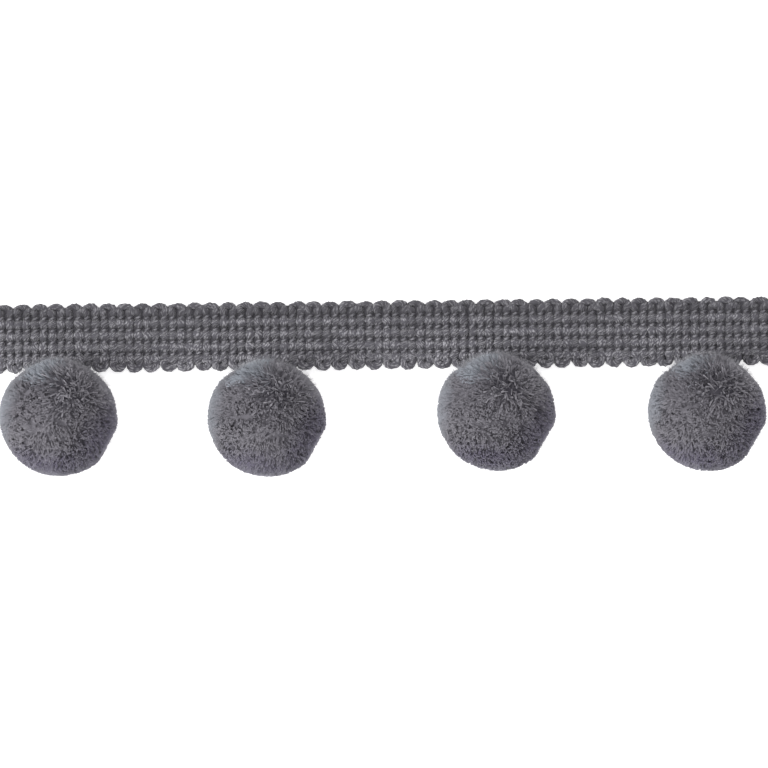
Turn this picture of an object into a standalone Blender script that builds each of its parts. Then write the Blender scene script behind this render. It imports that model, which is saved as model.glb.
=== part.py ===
"""Pompom fringe trim: a cord braid with scalloped edges and four pompoms tied to it.

Run it with blender --background --python part.py, or from Blender's text editor.
Metres, +Z up. The trim lies flat on Z = 0. +X runs along the braid, +Y points from
the pompoms to the braid, and the origin is under the middle of the whole trim.
"""

import math
import random
from typing import NamedTuple

import bmesh
import bpy
from mathutils import Matrix, Vector
from mathutils.geometry import interpolate_bezier

MM = 0.001

# Braid: one soft cord goes up and down across it in loops, and four rows bind it.
LOOP_PITCH = 4.36 * MM
LOOP_COUNT = 51
BRAID_WIDTH = 17.6 * MM  # from the upper crests to the lower crests
UPPER_SCALLOP = 0.8 * MM
LOWER_SCALLOP = 1.2 * MM
CREST_SCATTER = 0.13 * MM  # the most by which a loop falls short
CREST_SHIFT = 0.3 * MM  # the most by which it leans along the braid
BINDING_ROWS = 4
BINDING_PITCH = 3.09 * MM
BINDING_SHIFT = 0.53 * MM  # the rows lie this much nearer to the upper edge

CORD_HEIGHT = 2.4 * MM
BINDING_HEIGHT = 1.75 * MM
SHOULDER_HEIGHT = 2.0 * MM
RIM_HEIGHT = 1.25 * MM
SHOULDER_INSET = 0.9 * MM
CORD_GROOVE = 0.6 * MM
BINDING_GROOVE = 0.25 * MM
LOOP_HOLE = 1.0 * MM

# Pompoms: blunt locks of yarn around a core, trimmed to a ball.
POMPOM_RADIUS = 15.0 * MM
CORE_RADIUS = 9.5 * MM
POMPOM_HEIGHT = 13.7 * MM  # of its centre: the lowest locks are shorter and lie level
LOCK_CROWN = 0.2 * MM
LOCK_SCATTER = 0.35 * MM
TIP_SHARE = 0.86  # how far a tip's corners reach towards those of its neighbours

# Ties: the thread that holds a pompom by its core to a loop of the braid.
TIE_RADIUS = 0.7 * MM
TIE_HEIGHT = 0.95 * MM
TIE_STEPS = 7

CLEARANCE = 0.3 * MM
MOST_REACH = 44.0 * MM  # from the upper crests to the lowest pompom's far side

RUNS_PER_LOOP = 2  # the cord crosses the braid twice in each loop
STATIONS_PER_RUN = 2  # a gap between two runs, and the crest of the next run
STATIONS_PER_LOOP = RUNS_PER_LOOP * STATIONS_PER_RUN
STATIONS = LOOP_COUNT * STATIONS_PER_LOOP
BRAID_LENGTH = LOOP_COUNT * LOOP_PITCH
BRAID_Y = MOST_REACH / 2 - BRAID_WIDTH / 2
SEED = 11


class Hanging(NamedTuple):
    """Where one pompom hangs."""

    loop: int  # the lower loop that it is tied to, counted from the left end
    aside: float  # how far its centre lies to the right of that loop
    drop: float  # from the line of the lower crests to its centre


HANGINGS = (
    Hanging(loop=7, aside=-1.7 * MM, drop=11.1 * MM),
    Hanging(loop=19, aside=-1.0 * MM, drop=11.7 * MM),
    Hanging(loop=32, aside=0.5 * MM, drop=10.8 * MM),
    Hanging(loop=44, aside=1.8 * MM, drop=11.5 * MM),
)


class Line(NamedTuple):
    """One line of points along the braid, at a fixed place of its cross-section."""

    across: float  # from the braid's middle line, or inwards from the edge
    height: float
    between: float  # how much lower it lies between two runs of the cord
    edge: int  # 1 follows the upper edge, -1 the lower edge, 0 neither
    hole: int  # 1 dips inside the upper loops, -1 inside the lower loops


def clear_scene():
    """Remove every object of the scene that the script starts in."""
    for old in list(bpy.data.objects):
        bpy.data.objects.remove(old, do_unlink=True)


def make_material(name, colour, roughness):
    """Make a plain yarn material."""
    material = bpy.data.materials.new(name)
    material.use_nodes = True
    shader = material.node_tree.nodes["Principled BSDF"]
    shader.inputs["Base Color"].default_value = (*colour, 1.0)
    shader.inputs["Roughness"].default_value = roughness
    shader.inputs["Metallic"].default_value = 0.0
    return material


def add_object(name, data, material, parent, location):
    """Place one named sub-part under the trim's empty."""
    piece = bpy.data.objects.new(name, data)
    data.materials.append(material)
    bpy.context.collection.objects.link(piece)
    piece.parent = parent
    piece.location = location
    return piece


def mesh_from(bm, name):
    """Turn a bmesh into a mesh with its faces pointing out."""
    bmesh.ops.recalc_face_normals(bm, faces=bm.faces)
    mesh = bpy.data.meshes.new(name)
    bm.to_mesh(mesh)
    bm.free()
    return mesh


def binding_across(row):
    """Give the place of a binding row across the braid."""
    return BINDING_SHIFT + (row - (BINDING_ROWS - 1) / 2) * BINDING_PITCH


def edge_lines(side):
    """List the three lines of one scalloped edge, from the foot upwards."""
    return [
        Line(0.0, 0.0, 0.0, side, 0),
        Line(0.0, RIM_HEIGHT, 0.0, side, 0),
        Line(SHOULDER_INSET, SHOULDER_HEIGHT, 0.0, side, 0),
    ]


def braid_lines():
    """List the lines of the cross-section from the lower edge to the upper one."""
    crown = BRAID_WIDTH / 2 - SHOULDER_INSET
    lowest = binding_across(0)
    highest = binding_across(BINDING_ROWS - 1)
    lines = edge_lines(-1)
    lines.append(Line((lowest - crown) / 2, CORD_HEIGHT, CORD_GROOVE, 0, -1))
    for row in range(BINDING_ROWS):
        lines.append(Line(binding_across(row), BINDING_HEIGHT, BINDING_GROOVE, 0, 0))
        if row < BINDING_ROWS - 1:
            middle = binding_across(row + 0.5)
            lines.append(Line(middle, CORD_HEIGHT, CORD_GROOVE, 0, 0))
    lines.append(Line((highest + crown) / 2, CORD_HEIGHT, CORD_GROOVE, 0, 1))
    lines.extend(reversed(edge_lines(1)))
    return lines


def from_crest(station, side):
    """Give how far a station lies from its nearest crest, from 0 to 1 in a valley."""
    crest = 0.5 if side > 0 else 0.0
    turn = (station / STATIONS_PER_LOOP + crest) % 1.0
    return 2.0 * min(turn, 1.0 - turn)


def edge_across(station, side, short):
    """Give the place of a round scalloped edge across the braid."""
    depth = UPPER_SCALLOP if side > 0 else LOWER_SCALLOP
    fall = 1.0 - math.sqrt(1.0 - from_crest(station, side) ** 2)
    return side * (BRAID_WIDTH / 2 - depth * fall - short)


def line_height(line, station):
    """Give the height of a line at a station: cord runs, gaps and loop holes."""
    at_gap = station % STATIONS_PER_RUN == 0
    height = line.height - (line.between if at_gap else 0.0)
    if line.edge and line.across > 0.0:
        height -= CORD_GROOVE * from_crest(station, line.edge) ** 2
    if line.hole and from_crest(station, line.hole) == 0.0:
        height -= LOOP_HOLE - CORD_GROOVE
    return height


def loop_scatter(rng, least, most):
    """Draw one value for each loop, for its stations to share; the cut ends have none."""
    loops = [rng.uniform(least, most) for _ in range(LOOP_COUNT + 1)]
    half = STATIONS_PER_LOOP // RUNS_PER_LOOP
    shared = [loops[(station + half) // STATIONS_PER_LOOP] for station in range(STATIONS)]
    return [0.0] + shared[1:] + [0.0]


def place_line_point(vertex, station, line, short, shift):
    """Move a point of the flat grid to its place on the braid."""
    across = line.across
    lean = 0.0
    if line.edge:
        edge = edge_across(station, line.edge, short[line.edge][station])
        across = edge - line.edge * line.across
        lean = shift[line.edge][station]
    along = station / STATIONS_PER_LOOP * LOOP_PITCH - BRAID_LENGTH / 2
    vertex.co = (along + lean, across, line_height(line, station))


def make_braid():
    """Model the braid as one closed solid with ribs, binding grooves and scallops."""
    rng = random.Random(SEED)
    short = {side: loop_scatter(rng, 0.0, CREST_SCATTER) for side in (-1, 1)}
    shift = {side: loop_scatter(rng, -CREST_SHIFT, CREST_SHIFT) for side in (-1, 1)}
    for hanging in HANGINGS:
        short[-1][hanging.loop * STATIONS_PER_LOOP] = 0.0
        shift[-1][hanging.loop * STATIONS_PER_LOOP] = 0.0
    lines = braid_lines()
    last_line = len(lines) - 1

    bm = bmesh.new()
    bmesh.ops.create_grid(bm, x_segments=STATIONS, y_segments=last_line, size=0.5)
    feet = set()
    for vertex in bm.verts:
        station = round((vertex.co.x + 0.5) * STATIONS)
        number = round((vertex.co.y + 0.5) * last_line)
        place_line_point(vertex, station, lines[number], short, shift)
        if number in (0, last_line):
            feet.add(vertex)

    foot_edges = [edge for edge in bm.edges if set(edge.verts) <= feet]
    bmesh.ops.bridge_loops(bm, edges=foot_edges)
    bmesh.ops.holes_fill(bm, edges=[edge for edge in bm.edges if edge.is_boundary], sides=0)
    return mesh_from(bm, "braid")


def kite_sphere():
    """Make a unit ball of 60 equal kites, three of them meeting at its lowest point."""
    bm = bmesh.new()
    bmesh.ops.create_icosphere(bm, subdivisions=1, radius=1.0)
    sides = list(bm.edges)
    bmesh.ops.poke(bm, faces=bm.faces)
    bmesh.ops.subdivide_edges(bm, edges=sides, cuts=1)
    centres = [vertex for vertex in bm.verts if len(vertex.link_edges) == 3]
    middles = [vertex for vertex in bm.verts if len(vertex.link_edges) == 2]
    spokes = [edge for vertex in centres for edge in vertex.link_edges]
    bmesh.ops.connect_verts(bm, verts=centres + middles)
    bmesh.ops.dissolve_edges(bm, edges=spokes, use_verts=False)
    for vertex in bm.verts:
        vertex.co.normalize()
    pole = next(vertex for vertex in bm.verts if len(vertex.link_edges) == 3)
    turn = pole.co.rotation_difference(Vector((0.0, 0.0, -1.0))).to_matrix()
    bmesh.ops.rotate(bm, verts=bm.verts, matrix=turn)
    return bm


def face_direction(face):
    """Give the direction of a face of a ball from the ball's centre."""
    return face.calc_center_median().normalized()


def resting(direction, radius):
    """Put a lock's tip point at a radius, or level with the surface if that is nearer."""
    if direction.z * radius < -POMPOM_HEIGHT:
        radius = POMPOM_HEIGHT / -direction.z
    return direction * radius


def tie_seat(bm, toward):
    """Turn the ball about Z until one kite faces a point, and return that kite."""
    aim = toward.normalized()
    seat = min(bm.faces, key=lambda face: abs(face_direction(face).z - aim.z))
    facing = face_direction(seat)
    angle = math.atan2(aim.y, aim.x) - math.atan2(facing.y, facing.x)
    bmesh.ops.rotate(bm, verts=bm.verts, matrix=Matrix.Rotation(angle, 3, "Z"))
    return seat


def make_pompom(number, toward):
    """Model a pompom as one solid of blunt locks; the kite that faces its tie is bare."""
    rng = random.Random(SEED + number)
    bm = kite_sphere()
    seat = tie_seat(bm, toward)
    seat_direction = face_direction(seat)
    bmesh.ops.scale(bm, verts=bm.verts, vec=(CORE_RADIUS,) * 3)
    kites = [face for face in bm.faces if face is not seat]
    tips = bmesh.ops.extrude_discrete_faces(bm, faces=kites)["faces"]
    for tip in tips:
        middle = face_direction(tip)
        radius = POMPOM_RADIUS - rng.uniform(0.0, LOCK_SCATTER)
        for vertex in tip.verts:
            direction = middle.lerp(vertex.co.normalized(), TIP_SHARE).normalized()
            vertex.co = resting(direction, radius - LOCK_CROWN)
        crown = bmesh.ops.poke(bm, faces=[tip])["verts"][0]
        crown.co = resting(middle, radius)
    return mesh_from(bm, f"pompom_{number}"), seat_direction


def tie_points(start, end, leave, enter):
    """Work out the tie's points on one smooth curve between the loop and the core."""
    reach = (end - start).length / 3
    return interpolate_bezier(start, start + leave * reach, end - enter * reach, end, TIE_STEPS)


def make_tie(number, points):
    """Model a tie as a round thread with closed ends."""
    curve = bpy.data.curves.new(f"tie_{number}", "CURVE")
    curve.dimensions = "3D"
    curve.bevel_depth = TIE_RADIUS
    curve.bevel_resolution = 2
    curve.use_fill_caps = True
    spline = curve.splines.new("POLY")
    spline.points.add(len(points) - 1)
    for place, point in zip(spline.points, points):
        place.co = (*point, 1.0)
    return curve


def hang_pompom(number, hanging, trim, pompom_yarn, tie_yarn):
    """Place one pompom and the tie that holds it to its loop."""
    loop_x = hanging.loop * LOOP_PITCH - BRAID_LENGTH / 2
    crest_y = BRAID_Y - BRAID_WIDTH / 2
    centre = Vector((loop_x + hanging.aside, crest_y - hanging.drop, POMPOM_HEIGHT))
    start = Vector((loop_x, crest_y - CLEARANCE, TIE_HEIGHT))
    mesh, seat = make_pompom(number, start - centre)
    add_object(f"pompom_{number}", mesh, pompom_yarn, trim, centre)

    end = centre + seat * (CORE_RADIUS + CLEARANCE)
    points = tie_points(start, end, Vector((0.0, -1.0, 0.0)), -seat)
    curve = make_tie(number, [point - start for point in points])
    add_object(f"tie_{number}", curve, tie_yarn, trim, start)


def main():
    """Build the whole trim."""
    clear_scene()
    braid_yarn = make_material("braid_yarn", (0.124, 0.120, 0.137), 0.9)
    pompom_yarn = make_material("pompom_yarn", (0.111, 0.107, 0.124), 0.95)
    tie_yarn = make_material("tie_yarn", (0.095, 0.092, 0.105), 0.9)
    trim = bpy.data.objects.new("trim", None)
    bpy.context.collection.objects.link(trim)
    add_object("band", make_braid(), braid_yarn, trim, (0.0, BRAID_Y, 0.0))
    for number, hanging in enumerate(HANGINGS, start=1):
        hang_pompom(number, hanging, trim, pompom_yarn, tie_yarn)


main()
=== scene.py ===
"""Looks of a pompom fringe trim: a cord braid with four yarn pompoms, lying face up.

Every size is in metres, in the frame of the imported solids. +X runs along the braid,
+Y points from the pompoms to the braid, and +Z is up, towards the camera.
"""

from __future__ import annotations

import logging
import math
from dataclasses import dataclass, field
from enum import Enum
import bmesh
import bpy
import numpy as np
from mathutils import Matrix, Vector


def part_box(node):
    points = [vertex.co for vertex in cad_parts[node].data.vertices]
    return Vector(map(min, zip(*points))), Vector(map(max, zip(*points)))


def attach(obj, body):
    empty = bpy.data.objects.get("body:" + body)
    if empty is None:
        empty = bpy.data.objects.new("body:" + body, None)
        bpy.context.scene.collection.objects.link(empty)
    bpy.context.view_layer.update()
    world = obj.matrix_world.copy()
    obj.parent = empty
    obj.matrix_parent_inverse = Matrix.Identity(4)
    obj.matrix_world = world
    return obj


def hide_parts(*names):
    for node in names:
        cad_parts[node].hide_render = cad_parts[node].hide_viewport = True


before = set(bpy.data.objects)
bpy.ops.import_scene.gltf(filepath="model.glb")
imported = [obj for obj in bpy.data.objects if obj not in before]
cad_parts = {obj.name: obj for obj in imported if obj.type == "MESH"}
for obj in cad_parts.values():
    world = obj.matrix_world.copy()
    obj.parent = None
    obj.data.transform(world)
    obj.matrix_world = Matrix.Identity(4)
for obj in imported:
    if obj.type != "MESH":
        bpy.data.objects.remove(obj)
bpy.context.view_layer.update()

MM = 0.001
FULL_TURN = 2.0 * math.pi
FIRST, SECOND, MIXED = 6, 7, 2  # a Mix node's sockets: its two colours, and its result
RANGE = ("From Min", "From Max", "To Min", "To Max")  # a Map Range node's inputs
LOG = logging.getLogger("trim")
Material = bpy.types.Material
Mesh = bpy.types.Mesh
Socket = bpy.types.NodeSocket
Points = np.ndarray
Pair = tuple[float, float]
Triple = tuple[float, float, float]
Settings = dict[str | int, object]


class Edge(Enum):
    """The two scalloped edges of the braid, by the sign of their side."""

    UPPER = 1
    LOWER = -1


class FibreEnd(Enum):
    """How a fibre of the pile ends, by its radius at the root and at the tip."""

    POINTED = (1.0, 0.0)
    CUT = (0.0, 1.0)


# --- Small helpers -----------------------------------------------------------


def linear(hex_colour: str) -> tuple[float, float, float, float]:
    """Turn an sRGB hex colour into the linear colour that a shader reads.

    Args:
        hex_colour: six hex digits, such as "6a696f".

    Returns:
        Red, green, blue and an alpha of 1.
    """
    values = []
    for start in (0, 2, 4):
        value = int(hex_colour[start : start + 2], 16) / 255
        values.append(value / 12.92 if value <= 0.04045 else ((value + 0.055) / 1.055) ** 2.4)
    return (*values, 1.0)


def add_object(name: str, data: bpy.types.ID) -> bpy.types.Object:
    """Put an object for a mesh, curve, light or camera in the scene."""
    added = bpy.data.objects.new(name, data)
    bpy.context.scene.collection.objects.link(added)
    return added


def finished(bm: bmesh.types.BMesh, name: str) -> Mesh:
    """Turn a bmesh into a mesh.

    Args:
        bm: the bmesh, which is freed.
        name: the mesh's name.

    Returns:
        The new mesh.
    """
    mesh = bpy.data.meshes.new(name)
    bm.to_mesh(mesh)
    bm.free()
    return mesh


def add_piece(name: str, mesh: Mesh, material: Material, solid: str) -> bpy.types.Object:
    """Put a finished mesh in the scene as a piece that rides on the trim's one body.

    Args:
        name: the piece's name.
        mesh: its mesh, with its place in its points.
        material: its finish.
        solid: the solid whose place it takes.

    Returns:
        The new object.
    """
    mesh.materials.clear()
    mesh.materials.append(material)
    piece = add_object(name, mesh)
    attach(piece, "root")
    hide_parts(solid)
    LOG.info("%s: %d faces", name, len(mesh.polygons))
    return piece


def read_points(mesh: Mesh) -> Points:
    """Read where the points of a mesh lie.

    Args:
        mesh: the mesh.

    Returns:
        The places, one a row.
    """
    places = np.empty(len(mesh.vertices) * 3)
    mesh.vertices.foreach_get("co", places)
    return places.reshape(-1, 3)


def set_attribute(mesh: Mesh, name: str, kind: str, values: Points) -> None:
    """Store one value for each point of a mesh.

    Args:
        mesh: the mesh.
        name: the attribute's name.
        kind: "FLOAT" or "FLOAT_VECTOR".
        values: the values, in the order of the points.
    """
    attribute = mesh.attributes.new(name, kind, "POINT")
    attribute.data.foreach_set("vector" if kind == "FLOAT_VECTOR" else "value", values.ravel())


def unit(vectors: Points) -> Points:
    """Scale each row to a length of 1."""
    return vectors / np.maximum(np.linalg.norm(vectors, axis=-1, keepdims=True), 1e-12)


def blend(first: Points, second: Points, share: Points) -> Points:
    """Go from the first values, at a share of 0, to the second, at a share of 1."""
    return first + (second - first) * share


def smooth_step(value: Points, low: float, high: float) -> Points:
    """Rise smoothly from 0 at low to 1 at high."""
    share = np.clip((value - low) / (high - low), 0.0, 1.0)
    return share * share * (3.0 - 2.0 * share)


def fibonacci_directions(count: int, rng: np.random.Generator, scatter: float) -> Points:
    """Spread directions evenly over a ball, then shake them a little.

    Args:
        count: how many directions.
        rng: the random source.
        scatter: the shake, as a share of their spacing.

    Returns:
        Unit vectors, one a row.
    """
    turn = math.pi * (3.0 - math.sqrt(5.0))
    number = np.arange(count)
    height = 1.0 - (2.0 * number + 1.0) / count
    ring = np.sqrt(1.0 - height**2)
    spread = np.stack([ring * np.cos(turn * number), ring * np.sin(turn * number), height], 1)
    spread += rng.normal(0.0, scatter * math.sqrt(4.0 * math.pi / count), spread.shape)
    return unit(spread)


# --- Finishes ----------------------------------------------------------------


class Look:
    """A node material in the making."""

    def __init__(self, name: str) -> None:
        """Start the material."""
        self.material = bpy.data.materials.new(name)
        self.material.use_nodes = True
        self.tree = self.material.node_tree

    def feed(
        self, node: bpy.types.Node, settings: Settings | None, links: Settings | None
    ) -> None:
        """Set a node up and link its inputs.

        Args:
            node: the node.
            settings: a property, which comes first, or an input's name or number, to its value.
            links: an input's name or number to the socket that feeds it.
        """
        for key, value in (settings or {}).items():
            if isinstance(key, str) and hasattr(node, key):
                setattr(node, key, value)
            else:
                node.inputs[key].default_value = value
        for key, source in (links or {}).items():
            self.tree.links.new(source, node.inputs[key])

    def add_node(
        self, kind: str, settings: Settings | None = None, links: Settings | None = None
    ) -> bpy.types.NodeOutputs:
        """Add one node with its settings and its incoming links.

        Args:
            kind: the node's type without its prefix, such as "TexNoise".
            settings: what feed sets.
            links: what feed links.

        Returns:
            The new node's outputs.
        """
        node = self.tree.nodes.new("ShaderNode" + kind)
        self.feed(node, settings, links)
        return node.outputs

    def mix(self, share: Socket, first: Socket | str, second: Socket | str) -> Socket:
        """Mix two colours, each of them a socket or hex digits.

        Args:
            share: what gives the second colour's share.
            first: the first colour.
            second: the second colour.

        Returns:
            The mixed colour's socket.
        """
        settings, links = {"data_type": "RGBA"}, {0: share}
        for place, colour in ((FIRST, first), (SECOND, second)):
            if isinstance(colour, str):
                settings[place] = linear(colour)
            else:
                links[place] = colour
        return self.add_node("Mix", settings, links)[MIXED]

    def ramp(self, value: Socket, limits: Pair, results: Pair) -> Socket:
        """Lead a value evenly from one result to another.

        Args:
            value: what gives the value.
            limits: the values between which the result changes.
            results: what comes out at and beyond each of them.

        Returns:
            The result's socket.
        """
        ends = dict(zip(RANGE, (*limits, *results)))
        return self.add_node("MapRange", ends, {"Value": value})["Result"]

    def finish(self, settings: Settings, links: Settings | None = None) -> Material:
        """Set up the Principled shader and give the finished material."""
        self.feed(self.tree.nodes["Principled BSDF"], settings, links)
        return self.material


@dataclass(frozen=True)
class CordFinish:
    """Soft spun acrylic cord.

    Its fine plies show as short light flecks that follow the twist: the fibres' own texture,
    painted lighter as a highlight where its bump is raised, with the darker body colour
    between them. It carries painted shade where it is squeezed in, where it passes under
    another cord and towards the braid's upper edge, and nothing shines.
    """

    name: str
    # the colour of the painted shade
    shade: str
    body: str
    # the flecks' colour: the fibres' texture, painted lighter as a highlight
    fleck_and_highlight: str
    fleck_width_mm: float = 0.55
    fleck_length_mm: float = 0.95
    fleck_share: float = 0.95
    fleck_disorder: float = 0.9
    fleck_edge: Pair = (0.12, 0.6)  # from a fleck's middle: where it starts to fade and ends
    patch_mm: float = 6.0
    patch_edge: Pair = (0.35, 0.65)  # the noise at which a worn patch starts and is whole
    patch_wear: float = 0.25  # how much of the flecks it hides
    bump_mm: float = 0.31
    roughness: float = 0.95
    specular: float = 0.15
    sheen: float = 0.15
    sheen_roughness: float = 0.5

    def make(self) -> Material:
        """Build the material from the cord's own strand and painted light attributes.

        Returns:
            The cord's material.
        """
        look = Look(self.name)
        strand = look.add_node("Attribute", {"attribute_name": "strand"})
        painted_light = look.add_node("Attribute", {"attribute_name": "painted_light"})
        place = look.add_node("TexCoord")
        wide, long = 1.0 / self.fleck_width_mm, 1.0 / self.fleck_length_mm
        stretched = look.add_node(
            "Mapping", {"Scale": (wide, wide, long)}, {"Vector": strand["Vector"]}
        )
        flecks = look.add_node(
            "TexVoronoi",
            {"Scale": 1.0, "Randomness": self.fleck_disorder},
            {"Vector": stretched["Vector"]},
        )
        height = look.ramp(flecks["Distance"], self.fleck_edge, (1.0, 0.0))
        patches = look.add_node(
            "TexNoise",
            {"Scale": 1.0 / (self.patch_mm * MM), "Detail": 2.0},
            {"Vector": place["Object"]},
        )
        patch_share = look.ramp(patches["Fac"], self.patch_edge, (0.0, self.patch_wear))
        fleck_share = look.add_node(
            "Math", {"operation": "MULTIPLY", 1: self.fleck_share}, {0: height}
        )
        # painted highlight: the flecks are lightest where their bump is highest
        yarn = look.mix(fleck_share[0], self.body, self.fleck_and_highlight)
        worn = look.mix(patch_share, yarn, self.body)
        # painted shade: the painted_light attribute mixes in the shade colour
        colour = look.mix(painted_light["Fac"], self.shade, worn)
        bump = look.add_node(
            "Bump", {"Strength": 1.0, "Distance": self.bump_mm * MM}, {"Height": height}
        )
        return look.finish(
            {
                "Roughness": self.roughness,
                "Specular IOR Level": self.specular,
                "Sheen Weight": self.sheen,
                "Sheen Roughness": self.sheen_roughness,
            },
            {"Base Color": colour, "Normal": bump["Normal"]},
        )


@dataclass(frozen=True)
class PileFinish:
    """Cut acrylic pile, brushed and trimmed.

    The roots carry painted shade, the cut tips are lighter, and neighbouring yarn ends differ
    a little in tone. Where the pile lies flat it carries a soft, bluish painted sheen, and on
    its ruffled right side and along its lower rim a faint violet painted shade.
    """

    name: str = "cut_acrylic_pile"
    # the painted shade at the fibres' roots
    root: str = "3e3c43"
    dim: str = "545258"
    light: str = "8e8c92"
    # the painted sheen where the pile lies flat
    painted_sheen: str = "8c9199"
    # the violet painted shade on the right side and along the lower rim
    ruffled: str = "5f5a6e"
    even_cast: float = 1.0 / 3.0  # the cast that has neither painted sheen nor violet painted shade
    most_violet: float = 0.85
    open_limits: Pair = (0.2, 0.9)  # the painted light at which the roots' painted shade ends and the tips begin
    roughness: float = 0.85
    specular: float = 0.25
    sheen: float = 0.35
    sheen_roughness: float = 0.45
    sheen_tint: str = "f0f2f6"

    def make(self) -> Material:
        """Build the material from the pile's own attribute: tone, cast and painted light.

        Returns:
            The pile's material.
        """
        look = Look(self.name)
        pile = look.add_node("Attribute", {"attribute_name": "pile"})
        parts = look.add_node("SeparateXYZ", links={"Vector": pile["Vector"]})
        tone = look.mix(parts["X"], self.dim, self.light)
        # violet painted shade, and painted sheen where the pile lies flat
        violet = look.ramp(parts["Y"], (0.0, self.even_cast), (self.most_violet, 0.0))
        painted_sheen_share = look.ramp(parts["Y"], (self.even_cast, 1.0), (0.0, 1.0))
        ruffled = look.mix(violet, tone, self.ruffled)
        with_painted_sheen = look.mix(painted_sheen_share, ruffled, self.painted_sheen)
        # painted shade towards the fibres' roots
        open_share = look.ramp(parts["Z"], self.open_limits, (0.0, 1.0))
        colour = look.mix(open_share, self.root, with_painted_sheen)
        return look.finish(
            {
                "Roughness": self.roughness,
                "Specular IOR Level": self.specular,
                "Sheen Weight": self.sheen,
                "Sheen Roughness": self.sheen_roughness,
                "Sheen Tint": linear(self.sheen_tint),
            },
            {"Base Color": colour},
        )


@dataclass(frozen=True)
class PaperFinish:
    """Matt white studio paper, lit past white so that it shows no texture of its own."""

    name: str = "studio_paper"
    colour: str = "e2e2e2"
    glow_colour: str = "ffffff"
    glow: float = 0.64

    def make(self) -> Material:
        """Build the plain material.

        Returns:
            The paper's material.
        """
        return Look(self.name).finish(
            {
                "Base Color": linear(self.colour),
                "Roughness": 1.0,
                "Specular IOR Level": 0.0,
                "Emission Color": linear(self.glow_colour),
                "Emission Strength": self.glow,
            }
        )


# --- Cords swept along a route -----------------------------------------------


@dataclass
class Route:
    """The middle line of one cord, with its radius and its painted light at each point.

    The painted light is 1 where the cord is painted fully lit and 0 where it carries full
    painted shade, as in the grooves where it is squeezed in.
    """

    points: Points
    radii: Points
    painted_light: Points

    def run(self) -> Points:
        """Give the distance along the route at each point."""
        steps = np.linalg.norm(np.diff(self.points, axis=0), axis=1)
        return np.concatenate([[0.0], np.cumsum(steps)])


@dataclass
class PliedSection:
    """The cross-section of a cord: round plies side by side around its middle."""

    plies: int
    points_per_ply: int
    depth: float  # how far the grooves reach in, as a share of the radius

    @property
    def sides(self) -> int:
        """Count the section's points."""
        return self.plies * self.points_per_ply

    def outline(self) -> Points:
        """Give the section's points around a radius of 1.

        Returns:
            Rows of the two places across the cord.
        """
        number = np.arange(self.sides)
        angle = number / self.sides * FULL_TURN
        phase = (number % self.points_per_ply) / self.points_per_ply
        radius = 1.0 - self.depth * (1.0 - np.sin(math.pi * phase))
        return np.stack([radius * np.cos(angle), radius * np.sin(angle)], 1)


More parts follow.
